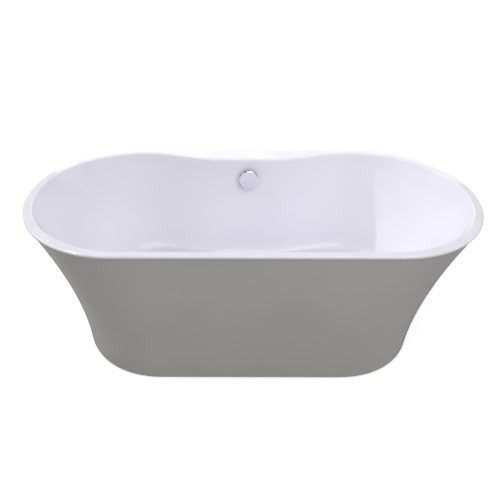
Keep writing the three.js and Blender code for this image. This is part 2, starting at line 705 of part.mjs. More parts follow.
function overflowBody() {
  const bore = CUP_R - CUP_WALL;
  const inside = rod(bore, CUP_BACK + CUP_WALL, CUP_FACE - CUP_WALL, 36);
  let body = rod(CUP_R, CUP_BACK, CUP_FACE, 36).subtract(inside);
  const spigot = rodAlongY(SPIGOT_R, -SPIGOT_END, -bore - 1, SPIGOT_Z, 20);
  body = body.add(spigot);
  body = body.subtract(rodAlongY(SPIGOT_R - SPIGOT_WALL, -SPIGOT_END - 1, -bore + 4, SPIGOT_Z, 20));
  return body.subtract(rod(SEAT_TUBE_R + GAP, CUP_FACE - CUP_WALL - 1, CUP_FACE + 1, 32));
}

add("overflow_washer", onRearWall(ring(SEAT_TUBE_R + 2, SEAT_R - 1, GAP, GAP + WASHER)), MATERIALS.rubber);
add("overflow_gasket", onRearWall(
  ring(SEAT_TUBE_R + 2, CUP_R - 1, -SHELL - GAP - GASKET, -SHELL - GAP)), MATERIALS.rubber);
add("overflow_seat", onRearWall(overflowSeat()), MATERIALS.chrome);
add("overflow_body", onRearWall(overflowBody()), MATERIALS.polypropylene);
add("overflow_knob", onRearWall(overflowKnob()), MATERIALS.chrome);
add("overflow_spindle", onRearWall(overflowSpindle()), MATERIALS.steel);

// ---------------------------------------------------------------- waste
const FLANGE_LOW = RECESS_Z + GAP + WASHER + GAP;
const FLANGE_TOP = FLANGE_LOW + FLANGE_THICK;
const FLANGE_TUBE_R = DRAIN_HOLE_R - 0.5;
const FLANGE_BORE = FLANGE_TUBE_R - 3.5;
const FLANGE_BOTTOM = RECESS_Z - 32;
const GASKET_TOP = RECESS_Z - SHELL - GAP;
const TEE_TOP = GASKET_TOP - GASKET - GAP;
const TEE_CUP_BORE = FLANGE_TUBE_R + GAP + 0.2;
const TEE_CUP_R = TEE_CUP_BORE + CUP_WALL;
const TEE_BORE = TAIL_R + 0.4;
const TEE_R = TEE_BORE + CUP_WALL;
const BRANCH_END = TEE_CUP_R + 24;
const CABLE_X = TEE_CUP_R + 3;
const GUIDE_THICK = 6;
const GUIDE_TOP = FLANGE_BOTTOM + 2 * GUIDE_THICK; // the guide stands clear of the lever at full lift
const STEM_LOW = 104; // underside of the plug stem with the plug closed
const LEVER_TILT = Math.asin(PLUG_LIFT / 2 / LEVER_ARM);
const LEVER_PIVOT_Y = -LEVER_ARM * Math.cos(LEVER_TILT);
const LEVER_TIP_R = 3;
const LEVER_PIVOT_Z = STEM_LOW - PLUG_LIFT_ROOM - LEVER_TIP_R + PLUG_LIFT / 2;

const overDrain = (shape) => shape.translate([0, DRAIN_Y, 0]);

function wasteFlange() {
  const shell = turned([
    [FLANGE_BORE, FLANGE_BOTTOM],
    [FLANGE_TUBE_R, FLANGE_BOTTOM],
    [FLANGE_TUBE_R, FLANGE_LOW],
    [RECESS_FLOOR_R - 1, FLANGE_LOW],
    [RECESS_FLOOR_R + 0.5, FLANGE_TOP - 0.8],
    [RECESS_FLOOR_R - 1, FLANGE_TOP],
    [FLANGE_BORE + 3, FLANGE_TOP],
    [FLANGE_BORE, FLANGE_TOP - 3],
  ], 40);
  return shell.add(spider(PLUG_HUB_R, FLANGE_BORE, PLUG_STEM_R + GAP, GUIDE_TOP - GUIDE_THICK, GUIDE_TOP));
}

function plugCap() {
  const rim = PLUG_R;
  const low = FLANGE_TOP + GAP + SEAL_THICK + GAP;
  const top = FLANGE_TOP + PLUG_TOP;
  return turned([
    [PLUG_STEM_R + GAP, low],
    [rim - 1.5, low],
    [rim, low + 1.5],
    [rim, top - 2.5],
    [rim - 2.5, top - 0.4],
    [PLUG_STEM_R + GAP, top - 0.2],
  ], 40).add(rod(PLUG_HUB_R, low, top, 20)).subtract(rod(PLUG_STEM_R + GAP, low - 1, top - 3, 20));
}

function plugSeal() {
  const low = FLANGE_TOP + GAP;
  return ring(PLUG_STEM_R + GAP, FLANGE_BORE + 6, low, low + SEAL_THICK);
}

const plugStem = () => rod(PLUG_STEM_R, STEM_LOW, FLANGE_TOP + PLUG_TOP - 3 - GAP, 20);

function wasteBody() {
  let body = turned([
    [TEE_BORE, TEE_BOTTOM],
    [TEE_R, TEE_BOTTOM],
    [TEE_R, TEE_CUP_BOTTOM - CUP_WALL],
    [TEE_CUP_R, TEE_CUP_BOTTOM],
    [TEE_CUP_R, TEE_TOP - TEE_FLANGE_THICK],
    [TEE_CUP_R + TEE_FLANGE, TEE_TOP - TEE_FLANGE_THICK],
    [TEE_CUP_R + TEE_FLANGE, TEE_TOP],
    [TEE_CUP_BORE, TEE_TOP],
    [TEE_CUP_BORE, TEE_CUP_BOTTOM + CUP_WALL],
    [TEE_BORE, TEE_CUP_BOTTOM],
  ], 36);
  const root = rodAlongY(HOSE_R - 2, TEE_BORE + 1, TEE_R + 5, TEE_Z, 20);
  body = body.add(root).add(rodAlongY(SPIGOT_R, TEE_R, BRANCH_END, TEE_Z, 20));
  body = body.subtract(rodAlongY(SPIGOT_R - SPIGOT_WALL, 1, BRANCH_END + 1, TEE_Z, 20));
  const lugSide = Math.sqrt(TEE_CUP_R ** 2 - LUG_REAR ** 2) - 0.5;
  const lug = block([lugSide, LUG_REAR - 8, CABLE_Z - 6], [CABLE_X + 5, LUG_REAR, CABLE_Z + 6]);
  body = body.add(lug.subtract(rodAlongY(CABLE_R / 2, 0, 30, CABLE_Z, 12).translate([CABLE_X, 0, 0])));
  const bore = rodAlongX(LEVER_SHAFT_R + GAP, 2 * TEE_CUP_R, LEVER_PIVOT_Y, LEVER_PIVOT_Z);
  return body.subtract(bore.translate([TEE_CUP_R, 0, 0]));
}

// The shaft passes through the right side of the waste body and carries a crank outside it.
function liftLever() {
  const start = -2 * LEVER_HALF;
  const end = TEE_CUP_R + 6;
  const shaft = rodAlongX(LEVER_SHAFT_R, end - start, 0, 0).translate([(start + end) / 2, 0, 0]);
  const arm = block([-LEVER_HALF, 0, -LEVER_TIP_R], [LEVER_HALF, LEVER_ARM, 0.5]);
  const tip = rodAlongX(LEVER_TIP_R, 2 * LEVER_HALF, LEVER_ARM, 0);
  const crank = block([end - LEVER_HALF, -LEVER_HALF, -CRANK_DROP], [end, LEVER_HALF, LEVER_HALF]);
  const tilt = THREE.MathUtils.radToDeg(-LEVER_TILT);
  const inside = arm.add(tip).rotate([tilt, 0, 0]);
  return shaft.add(inside).add(crank).translate([0, LEVER_PIVOT_Y, LEVER_PIVOT_Z]);
}

function tailNut() {
  const low = TEE_BOTTOM - TAIL_NUT_DROP;
  const high = TEE_BOTTOM + TAIL_NUT_GRIP;
  return turned([
    [TAIL_R + GAP, low],
    [TEE_R + TAIL_NUT_WALL, low],
    [TEE_R + TAIL_NUT_WALL, high],
    [TEE_R + GAP, high],
    [TEE_R + GAP, TEE_BOTTOM - GAP],
    [TAIL_R + GAP, TEE_BOTTOM - GAP],
  ]);
}

add("waste_gasket_top", overDrain(
  ring(DRAIN_HOLE_R + 1, RECESS_FLOOR_R - 2, RECESS_Z + GAP, RECESS_Z + GAP + WASHER)), MATERIALS.rubber);
add("waste_gasket_low", overDrain(
  ring(DRAIN_HOLE_R + 0.5, TEE_CUP_R + TEE_FLANGE - 1, GASKET_TOP - GASKET, GASKET_TOP)), MATERIALS.rubber);
add("waste_flange", overDrain(wasteFlange()), MATERIALS.chrome);
add("waste_body", overDrain(wasteBody()), MATERIALS.polypropylene);
add("plug_cap", overDrain(plugCap()), MATERIALS.chrome);
add("plug_seal", overDrain(plugSeal()), MATERIALS.rubber);
add("plug_stem", overDrain(plugStem()), MATERIALS.steel);
add("lift_lever", overDrain(liftLever()), MATERIALS.steel);
add("tail_nut", overDrain(tailNut()), MATERIALS.polypropylene);
add("tail_pipe", overDrain(
  ring(TAIL_R - TAIL_WALL, TAIL_R, TAIL_BOTTOM, TEE_BOTTOM + TAIL_NUT_GRIP, 28)), MATERIALS.polypropylene);

// ---------------------------------------------------------------- overflow hose and drive cable
// A point behind the rear wall, from a distance down the wall and a distance behind its water side.
function behindWall(x, down, behind) {
  const { y, lean } = OVERFLOW;
  return new THREE.Vector3(
    x,
    y - down * Math.sin(lean) + behind * Math.cos(lean),
    OVERFLOW_Z - down * Math.cos(lean) - behind * Math.sin(lean),
  );
}

// A path that runs down behind the rear wall and turns forward to run level to endY.
function downAndForward(start, level, endY, bend) {
  const down = new THREE.Vector3(0, -Math.sin(OVERFLOW.lean), -Math.cos(OVERFLOW.lean));
  const corner = start.clone().addScaledVector(down, (start.z - level) / -down.z);
  const forward = new THREE.Vector3(0, -1, 0);
  const before = corner.clone().addScaledVector(down, -bend);
  const after = corner.clone().addScaledVector(forward, bend);
  const end = new THREE.Vector3(start.x, endY, level);
  const handle = 0.45 * bend;
  const path = new THREE.CurvePath();
  path.add(new THREE.LineCurve3(start, before));
  path.add(new THREE.CubicBezierCurve3(
    before,
    before.clone().addScaledVector(down, bend - handle),
    after.clone().addScaledVector(forward, handle - bend),
    after,
  ));
  path.add(new THREE.LineCurve3(after, end));
  return path;
}

function swept(outer, inner, path, steps, sides) {
  const circle = (shape, radius) => {
    const points = [];
    for (let i = 0; i < sides; i++) {
      const angle = (2 * Math.PI * i) / sides;
      points.push(new THREE.Vector2(radius * Math.cos(angle), radius * Math.sin(angle)));
    }
    return shape.setFromPoints(points);
  };
  const section = circle(new THREE.Shape(), outer);
  if (inner > 0) section.holes.push(circle(new THREE.Path(), inner));
  return solid(new THREE.ExtrudeGeometry(section, { steps, extrudePath: path, bevelEnabled: false }));
}

function hoseNut(from, length, bore) {
  const inside = rodAlongY(bore, from - 1, from + length + 1, 0, 28);
  return rodAlongY(HOSE_NUT_R, from, from + length, 0, 12).subtract(inside);
}

const HOSE_START = behindWall(0, CUP_R + 4, -SPIGOT_Z);
const HOSE_END_Y = DRAIN_Y + TEE_CUP_R + 2;
const HOSE_PATH = downAndForward(HOSE_START, TEE_Z, HOSE_END_Y, HOSE_BEND);
const CABLE_START = behindWall(CABLE_X, CUP_R, -SPIGOT_Z);
const CABLE_PATH = downAndForward(CABLE_START, CABLE_Z, DRAIN_Y + LUG_REAR + GAP, HOSE_BEND);
add("overflow_hose", swept(HOSE_R, HOSE_R - HOSE_WALL, HOSE_PATH, 24, HOSE_SIDES), MATERIALS.blackPlastic);
add("hose_nut_top", onRearWall(
  hoseNut(-CUP_R - 8 - HOSE_NUT_LENGTH, HOSE_NUT_LENGTH, HOSE_R + GAP).translate([0, 0, SPIGOT_Z])),
  MATERIALS.polypropylene);
add("hose_nut_low", hoseNut(HOSE_END_Y + 2, HOSE_NUT_LENGTH, HOSE_R + GAP).translate([0, 0, TEE_Z]),
  MATERIALS.polypropylene);
add("drive_cable", swept(CABLE_R, 0, CABLE_PATH, 20, 6), MATERIALS.blackPlastic);

export default tub;
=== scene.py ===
import json
import math

import bmesh
import bpy
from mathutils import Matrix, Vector


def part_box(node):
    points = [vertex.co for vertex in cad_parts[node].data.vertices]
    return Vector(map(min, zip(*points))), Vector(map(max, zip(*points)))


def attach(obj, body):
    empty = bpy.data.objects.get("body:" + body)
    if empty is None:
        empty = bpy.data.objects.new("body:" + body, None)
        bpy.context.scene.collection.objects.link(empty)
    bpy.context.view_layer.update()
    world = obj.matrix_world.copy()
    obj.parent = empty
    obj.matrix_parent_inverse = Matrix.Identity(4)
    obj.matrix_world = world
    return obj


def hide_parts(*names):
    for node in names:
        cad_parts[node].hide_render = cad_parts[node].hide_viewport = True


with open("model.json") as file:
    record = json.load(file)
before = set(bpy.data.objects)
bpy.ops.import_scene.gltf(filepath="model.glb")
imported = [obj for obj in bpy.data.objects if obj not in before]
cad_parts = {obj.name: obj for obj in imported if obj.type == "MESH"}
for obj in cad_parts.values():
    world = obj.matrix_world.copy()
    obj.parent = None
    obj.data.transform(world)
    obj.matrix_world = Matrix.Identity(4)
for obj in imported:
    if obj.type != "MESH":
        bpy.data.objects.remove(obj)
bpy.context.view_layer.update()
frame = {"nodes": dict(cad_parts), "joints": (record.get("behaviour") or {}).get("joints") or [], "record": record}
bpy.ops.object.select_all(action="DESELECT")

# ---------------------------------------- measures taken from the frame, in metres
TUB_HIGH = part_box("basin_shell")[1]
SKIRT_LOW, SKIRT_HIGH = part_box("skirt_shell")
FLANGE_LOW, FLANGE_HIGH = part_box("waste_flange")
PLUG_LOW, PLUG_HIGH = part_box("plug_cap")
JOINTS = {joint["name"]: joint for joint in frame["joints"]}
RIM_HALF_LENGTH, RIM_HALF_WIDTH, RIM_Z = TUB_HIGH
RIM_END = 0.475 * 2 * RIM_HALF_WIDTH
DRAIN_Y = (FLANGE_LOW[1] + FLANGE_HIGH[1]) / 2
ACRYLIC_SKIN = 0.0048
CHROME_EDGE = 0.0002
EVEN = 1.0001  # lets points that lie exactly on a limit count as inside it


# ---------------------------------------- working by hand on one mesh
def begin(name):
    """Names the primitive just added and opens it for editing with nothing selected."""
    piece = bpy.context.object
    piece.name = piece.data.name = name
    bpy.ops.object.mode_set(mode="EDIT")
    bpy.ops.mesh.select_mode(type="VERT")
    bpy.ops.mesh.select_all(action="DESELECT")
    return piece


def pick(piece, test):
    """Selects the points for which test(point) holds, and nothing else."""
    mesh = bmesh.from_edit_mesh(piece.data)
    for face in mesh.faces:
        face.select = False
    for edge in mesh.edges:
        edge.select = False
    for point in mesh.verts:
        point.select = bool(test(point))
    mesh.select_flush(True)
    bmesh.update_edit_mesh(piece.data)


def ring_points(piece):
    """The numbers of the points that are selected now."""
    return {point.index for point in bmesh.from_edit_mesh(piece.data).verts if point.select}


def slide(x=0, y=0, z=0):
    bpy.ops.transform.translate(value=(x, y, z))


def stretch(x=1, y=1, z=1, about=(0, 0, 0)):
    bpy.ops.transform.resize(value=(x, y, z), center_override=about)


def close_up(piece):
    """Merges doubled points, turns all faces outwards, and leaves edit mode."""
    bpy.ops.mesh.select_all(action="SELECT")
    bpy.ops.mesh.remove_doubles(threshold=1e-6)
    bpy.ops.mesh.normals_make_consistent(inside=False)
    bpy.ops.object.mode_set(mode="OBJECT")


def modify(piece, kind, **settings):
    modifier = piece.modifiers.new(kind.title(), kind)
    for key, value in settings.items():
        setattr(modifier, key, value)
    bpy.context.view_layer.objects.active = piece
    bpy.ops.object.modifier_apply(modifier=modifier.name)


def settle(piece, material, body, slot, *nodes):
    """Puts a finished piece at the origin, gives it its finish and the body it moves with."""
    bpy.ops.object.select_all(action="DESELECT")
    piece.select_set(True)
    bpy.context.view_layer.objects.active = piece
    bpy.ops.object.transform_apply(location=True, rotation=True, scale=True)
    piece.data.materials.clear()
    piece.data.materials.append(material)
    bpy.ops.object.shade_smooth_by_angle(angle=math.radians(40))
    piece.select_set(False)
    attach(piece, body)
    if nodes:
        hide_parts(*nodes)
    return piece


def extrude_ring(piece):
    """Pulls a new ring of points out of the selected one, in the same place, and returns its numbers."""
    bpy.ops.mesh.extrude_edges_move(TRANSFORM_OT_translate={"value": (0, 0, 0)})
    return ring_points(piece)


# ---------------------------------------- oval shells, built ring by ring
class Oval:
    """One level of an oval: straight sides from -straight to straight, rounded ends that reach end
    further, and the sides at -front and +rear."""

    def __init__(self, length, end, front, rear, z):
        self.straight, self.end = length - end, end
        self.front, self.rear, self.z = front, rear, z


def first_oval(name, oval, side_cuts, steps=12):
    """The first ring of a shell: a circle drawn out to the oval, with extra points along its sides."""
    turn = math.pi / (4 * steps)
    bpy.ops.mesh.primitive_circle_add(
        vertices=4 * steps, radius=1 / math.cos(turn), fill_type="NOTHING",
        location=(0, 0, oval.z), rotation=(0, 0, turn))
    bpy.ops.object.transform_apply(location=True, rotation=True, scale=True)
    piece = begin(name)
    for sign, width in ((-1, oval.front), (1, oval.rear)):
        pick(piece, lambda point: point.co.y * sign > 0)
        stretch(x=oval.end, y=width, about=(0, 0, oval.z))
    for sign in (-1, 1):
        pick(piece, lambda point: point.co.x * sign > 0)
        slide(x=sign * oval.straight)
    bpy.ops.mesh.select_all(action="DESELECT")
    bpy.ops.mesh.select_mode(type="EDGE")
    mesh = bmesh.from_edit_mesh(piece.data)
    for edge in mesh.edges:
        edge.select = edge.verts[0].co.x * edge.verts[1].co.x < 0
    bmesh.update_edit_mesh(piece.data)
    bpy.ops.mesh.subdivide(number_cuts=side_cuts)
    bpy.ops.mesh.select_mode(type="VERT")
    bpy.ops.mesh.select_all(action="SELECT")
    return piece


def next_oval(piece, old, new, hinge=None):
    """Pulls the selected ring on to the next level. The sides shift as they are, or are drawn in or out
    from hinge."""
    ring = extrude_ring(piece)
    edge = old.straight * EVEN
    for sign in (-1, 1):
        pick(piece, lambda p: p.index in ring and p.co.x * sign > edge)
        stretch(x=new.end / old.end, about=(sign * old.straight, 0, old.z))
        slide(x=sign * (new.straight - old.straight))
    pick(piece, lambda p: p.index in ring and abs(p.co.x) < min(old.straight, new.straight) * EVEN)
    if old.straight > 0:
        stretch(x=new.straight / old.straight, about=(0, 0, old.z))
    for sign, before, after in ((-1, old.front, new.front), (1, old.rear, new.rear)):
        pick(piece, lambda p: p.index in ring and abs(p.co.x) > new.straight * EVEN and p.co.y * sign > 0)
        stretch(y=after / before, about=(0, 0, old.z))
        pick(piece, lambda p: p.index in ring and abs(p.co.x) <= new.straight * EVEN and p.co.y * sign > 0)
        if hinge is None:
            slide(y=sign * (after - before))
        else:
            stretch(y=(after - hinge) / (before - hinge), about=(0, sign * hinge, old.z))
    pick(piece, lambda p: p.index in ring)
    slide(z=new.z - old.z)
    return new


# ---------------------------------------- outer skirt
SKIRT_DRAW_IN = 0.1605  # how much further in each end stands at the foot than at the top
SKIRT_SIDE_DRAW_IN = 0.0185
FOOT_END, TOP_END = 0.352, 0.3775  # reach of the rounded ends
CORNER_FULLNESS = 0.0275  # at the foot, as a share of the reach
SKIRT_LEVELS = (0.015, 0.14, 0.28, 0.42, 0.55, 0.67, 0.78, 0.88, 0.96, 0.99, 1)
SKIRT_LIP = (0.0015, 0.020)  # turned in under the rim


def flare(z):
    """How far the skirt has opened out at a height: 0 on the ground, 1 at its top."""
    return (z / SKIRT_HIGH[2]) ** 2


def make_skirt():
    """A flared sleeve: its foot is shorter and a little narrower than its top, and it opens out ever
    faster towards the rim, where it turns in."""
    top_half, top_width, top_z = SKIRT_HIGH
    foot_z = SKIRT_LOW[2]

    def level(z):
        blend = lambda foot, top: foot + (top - foot) * flare(z)
        width = blend(top_width - SKIRT_SIDE_DRAW_IN, top_width)
        return Oval(blend(top_half - SKIRT_DRAW_IN, top_half), blend(FOOT_END, TOP_END), width, width, z)

    at = level(foot_z)
    piece = first_oval("skirt", at, side_cuts=5)
    for share in SKIRT_LEVELS:
        at = next_oval(piece, at, level(foot_z + (top_z - foot_z) * share))
    for inset in SKIRT_LIP:
        new = level(top_z)
        new.end, new.front, new.rear = new.end - inset, new.front - inset, new.rear - inset
        at = next_oval(piece, at, new)
    fuller_foot(piece)
    close_up(piece)
    modify(piece, "SUBSURF", levels=2, render_levels=2)
    modify(piece, "SOLIDIFY", thickness=ACRYLIC_SKIN, offset=-1)
    # The skirt's grey finish is partly painted shade.
    return settle(piece, GREY_AND_PAINTED_SHADE_ACRYLIC, "tub", "grey_acrylic", "skirt_shell")


def fuller_foot(piece):
    """Pushes the four corners of each level out a little, most at the foot."""
    slightest = 0.001
    places = {p.index: p.co.copy() for p in bmesh.from_edit_mesh(piece.data).verts}
    for z in sorted({round(place.z, 6) for place in places.values()}):
        full = CORNER_FULLNESS * (1 - flare(z))
        if full < slightest:
            continue
        level = {i: place for i, place in places.items() if abs(place.z - z) < 1e-5}
        tip = max(place.x for place in level.values())
        half = max(place.y for place in level.values())
        straight = tip - (FOOT_END + (TOP_END - FOOT_END) * flare(z))
        for i, place in level.items():
            if abs(place.x) <= straight * EVEN:
                continue
            across, along = abs(place.y) / half, (abs(place.x) - straight) / (tip - straight)
            grow = full * (2 * across * along) ** 1.5
            pick(piece, lambda p: p.index == i)
            stretch(x=1 + grow, y=1 + grow, about=(math.copysign(straight, place.x), 0, z))


# ---------------------------------------- basin
BASIN_FLOOR_Z = 0.152
SIDE_COVE, END_COVE = 0.075, 0.090
SIDE_LEAN, END_LEAN = math.radians(11), math.radians(26.3)
MOUTH_STRAIGHT = 0.440  # half the length of the mouth's straight sides
MOUTH = Oval(RIM_HALF_LENGTH - 0.035, RIM_HALF_LENGTH - 0.035 - MOUTH_STRAIGHT, RIM_HALF_WIDTH - 0.033,
             RIM_HALF_WIDTH - 0.038, RIM_Z - 0.007)
FLOOR = Oval(RIM_HALF_LENGTH - 0.310, 0.235, RIM_HALF_WIDTH - 0.175, RIM_HALF_WIDTH - 0.175, BASIN_FLOOR_Z)
DECK_DEPTH = 0.0655  # how far the tap deck narrows the mouth
DECK_WAVE = 0.315  # the length over which it does so at each end
LIP_EDGE = 0.009  # how far the rim turns down
# steps of (way out, height) from the rim's outline, then from the mouth's
RIM_STEPS = ((0, -0.0085), (0, -0.005), (-0.00146, -0.00146), (-0.005, 0), (-0.0065, 0), (-0.012, 0))
MOUTH_STEPS = ((0.0085, 0), (0.007, 0), (0.00205, -0.00205), (0, -0.007))
FALL_TO_WASTE = ((0.97, 0), (0.6, -0.0015), (0.5, -0.001))  # steps of (share of the ring before, drop)
RECESS_EDGE, RECESS_TOP_Z = 0.0475, 0.147
RECESS_STEPS = ((0.046, -0.0003), (0.0425, -0.0032), (0.041, 0), (0.0262, 0))  # steps of (radius, drop)
WALL_LEVELS = (
    0.592, 0.575, 0.52, 0.44, 0.35, 0.27, 0.225, 0.208, 0.192, 0.177, 0.1655, 0.1575, 0.1532, 0.152)


def way_in(z, cove, lean, travel):
    """How far in the wall stands at a height: 0 at the mouth, 1 at the edge of the floor."""
    cove_share = 1 - cove * math.cos(lean) / travel
    cove_z = BASIN_FLOOR_Z + cove * (1 - math.sin(lean))
    if z >= cove_z:
        return cove_share * (MOUTH.z - z) / (MOUTH.z - cove_z)
    angle = math.asin(min(1, 1 - (z - BASIN_FLOOR_Z) / cove))
    return 1 - cove * math.cos(angle) / travel


def wall_level(z):
    """The oval of the walls at a height."""
    side = way_in(z, SIDE_COVE, SIDE_LEAN, MOUTH.front - FLOOR.front)
    mouth_tip, floor_tip = MOUTH.straight + MOUTH.end, FLOOR.straight + FLOOR.end
    tip = way_in(z, END_COVE, END_LEAN, mouth_tip - floor_tip)
    blend = lambda a, b, share: a + (b - a) * share
    length = blend(mouth_tip, floor_tip, tip)
    straight = blend(MOUTH.straight, FLOOR.straight, side)
    return Oval(length, length - straight, blend(MOUTH.front, FLOOR.front, side),
                blend(MOUTH.rear, FLOOR.rear, side), z)


def let_out(oval, out, z):
    """The same oval let out all round, at another height."""
    return Oval(oval.straight + oval.end + out, oval.end + out, oval.front + out, oval.rear + out, z)


def narrow_for_deck(piece):
    """Draws the rear side of the selected ring forward in a smooth wave: the tap deck."""
    ring = ring_points(piece)
    mesh = bmesh.from_edit_mesh(piece.data)
    mesh.verts.ensure_lookup_table()
    places = {i: mesh.verts[i].co.copy() for i in ring}
    for i, place in places.items():
        share = min(1, max(0, (MOUTH_STRAIGHT - abs(place.x)) / DECK_WAVE))
        if place.y > 0 and share > 0:
            pick(piece, lambda p: p.index == i)
            slide(y=-DECK_DEPTH * share * share * (3 - 2 * share))
    pick(piece, lambda p: p.index in ring)


def make_basin():
    """One skin from the rim's turned-down lip over the flat rim, down the walls and across the floor to
    the waste, then thickened."""
    rim = Oval(RIM_HALF_LENGTH, RIM_END, RIM_HALF_WIDTH, RIM_HALF_WIDTH, RIM_Z - LIP_EDGE)
    at, piece = rim, first_oval("basin", rim, steps=13, side_cuts=17)
    for out, z in RIM_STEPS:
        at = next_oval(piece, at, let_out(rim, out, RIM_Z + z))
    flat = let_out(MOUTH, 0.012, RIM_Z)
    at = next_oval(piece, at, flat)
    narrow_for_deck(piece)
    for out, z in MOUTH_STEPS:
        at = next_oval(piece, at, let_out(MOUTH, out, RIM_Z + z))
    for z in WALL_LEVELS:
        at = next_oval(piece, at, wall_level(z), hinge=FLOOR.rear)
    centre = (0, DRAIN_Y, BASIN_FLOOR_Z)
    for share, drop in FALL_TO_WASTE:
        extrude_ring(piece)
        stretch(x=share, y=share, about=centre)
        slide(z=drop)
    bpy.ops.transform.tosphere(value=1)
    mesh = bmesh.from_edit_mesh(piece.data)
    points = [p.co for p in mesh.verts if p.select]
    middle = sum(points, Vector()) / len(points)
    radius = sum((p - middle).length for p in points) / len(points)
    slide(x=centre[0] - middle.x, y=centre[1] - middle.y)
    for wanted, drop in ((RECESS_EDGE, RECESS_TOP_Z - middle.z), *RECESS_STEPS):
        extrude_ring(piece)
        stretch(x=wanted / radius, y=wanted / radius, about=centre)
        slide(z=drop)
        radius = wanted
    close_up(piece)
    modify(piece, "SUBSURF", levels=2, render_levels=2)
    modify(piece, "SOLIDIFY", thickness=ACRYLIC_SKIN, offset=-1)
    return settle(piece, WHITE_ACRYLIC, "tub", "white_acrylic", "basin_shell")


# ---------------------------------------- turned fittings
# profiles of (radius, height), the knob's and the ring's measured out from the wall
KNOB_PROFILE = (
    (0.0375, 0.0182), (0.0378, 0.0094), (0.0384, 0.0090), (0.0402, 0.0090), (0.0404, 0.0094),
    (0.0404, 0.0176), (0.0410, 0.0178), (0.0410, 0.0184), (0.0406, 0.0189), (0.0386, 0.0207),
    (0.0380, 0.0210), (0.0300, 0.02115), (0.0180, 0.02125), (0.0060, 0.0213))
RING_PROFILE = (
    (0.0230, 0.0050), (0.0230, -0.0190), (0.0258, -0.0190), (0.0258, 0.0018), (0.0364, 0.0018),
    (0.0370, 0.0024), (0.0370, 0.0038), (0.0358, 0.0050), (0.0250, 0.0053), (0.0230, 0.0050))
# the dark ribbed band round the cap is painted shade, standing in for the shadowed gap over the cap
SHADE_BAND_TOP, SHADE_BAND_HOLLOW = 0.0408, 0.0405  # radius on the ribs and between them
SHADE_BAND_POINTS = 144


def turned(name, profile, sides=64, fill=False):
    """Pulls a ring up through a profile of (radius, height) steps about the Z axis. A closed profile ends
    where it began; fill closes the first and the last ring with a face each."""
    radius, height = profile[0]
    bpy.ops.mesh.primitive_circle_add(
        vertices=sides, radius=radius, fill_type="NOTHING", location=(0, 0, height))
    bpy.ops.object.transform_apply(location=True, rotation=True, scale=True)
    piece = begin(name)
    bpy.ops.mesh.select_all(action="SELECT")
    for new_radius, new_height in profile[1:]:
        extrude_ring(piece)
        stretch(x=new_radius / radius, y=new_radius / radius, about=(0, 0, height))
        slide(z=new_height - height)
        radius, height = new_radius, new_height
    if fill:
        bpy.ops.mesh.edge_face_add()
        pick(piece, lambda p: p.index < sides)
        bpy.ops.mesh.edge_face_add()
    close_up(piece)
    return piece


def soften(piece, degrees, width=CHROME_EDGE):
    """Rounds the edges that turn by more than some degrees."""
    modify(piece, "BEVEL", width=width, segments=2, limit_method="ANGLE",
           angle_limit=math.radians(degrees))


def place_on_wall(piece):
    """Turns a fitting made about the Z axis to face out of the rear wall at the knob's own axis."""
    joint = JOINTS["knob_turn"]
    axis = Vector(joint["axis"])
    piece.rotation_euler = (math.atan2(-axis.y, axis.z), 0, 0)
    piece.location = joint["pos_m"]


def make_knob():
    """A thick round cap, hollow behind, with a bright bevelled edge and a very slightly crowned face."""
    piece = turned("overflow_cap", KNOB_PROFILE, sides=72, fill=True)
    soften(piece, 25)
    place_on_wall(piece)
    return settle(piece, CHROME, "knob", "chrome", "overflow_knob")


def make_shade_band():
    """A dark band round the side of the cap, with fine ribs across it: painted shade, standing in for the shadowed
    gap seen over the cap's top edge.
    """
    bpy.ops.mesh.primitive_cylinder_add(vertices=SHADE_BAND_POINTS, radius=SHADE_BAND_TOP, depth=0.0080,
                                        end_fill_type="NOTHING", location=(0, 0, 0.0135))
    bpy.ops.object.transform_apply(location=True, rotation=True, scale=True)
    piece = begin("painted_shade_band")
    pick(piece, lambda p: round(math.degrees(math.atan2(p.co.y, p.co.x)) * SHADE_BAND_POINTS / 360) % 2)
    stretch(x=SHADE_BAND_HOLLOW / SHADE_BAND_TOP, y=SHADE_BAND_HOLLOW / SHADE_BAND_TOP)
    close_up(piece)
    modify(piece, "SOLIDIFY", thickness=0.0003, offset=-1)
    place_on_wall(piece)
    return settle(piece, BLACK_PLASTIC, "knob", "black_plastic")


def make_seat():
    """The fixed ring behind the cap, and the threaded neck that passes through the wall."""
    piece = turned("overflow_ring", RING_PROFILE)
    soften(piece, 30)
    place_on_wall(piece)
    return settle(piece, CHROME, "tub", "chrome", "overflow_seat")


def over_drain(piece):
    """Moves a fitting made about the Z axis over the middle of the waste."""
    piece.location = (0, DRAIN_Y, 0)


def make_flange():
    """The chrome ring in the floor's recess, dished towards its bore."""
    top = FLANGE_HIGH[2]
    piece = turned("waste_ring", [
        (0.0220, top - 0.0022), (0.0220, top - 0.0350), (0.0255, top - 0.0350), (0.0255, top - 0.0022),
        (0.0415, top - 0.0022), (0.0428, top - 0.0014), (0.0428, top - 0.0008), (0.0415, top - 0.0001),
        (0.0360, top), (0.0300, top - 0.0006), (0.0250, top - 0.0010), (0.0220, top - 0.0022)])
    soften(piece, 30)
    over_drain(piece)
    return settle(piece, CHROME, "tub", "chrome", "waste_flange")


def make_plug():
    """A domed chrome cap with a step round its rim."""
    low, top = PLUG_LOW[2], PLUG_HIGH[2]
    piece = turned("plug_dome", [
        (0.0045, low), (0.0315, low), (0.0328, low + 0.0012), (0.0330, low + 0.0024),
        (0.0330, top - 0.0034), (0.0324, top - 0.0022), (0.0308, top - 0.0014), (0.0290, top - 0.0013),
        (0.0284, top - 0.0009), (0.0220, top - 0.0004), (0.0120, top - 0.0001), (0.0040, top)], fill=True)
    soften(piece, 25)
    over_drain(piece)
    return settle(piece, CHROME, "plug", "chrome", "plug_cap")


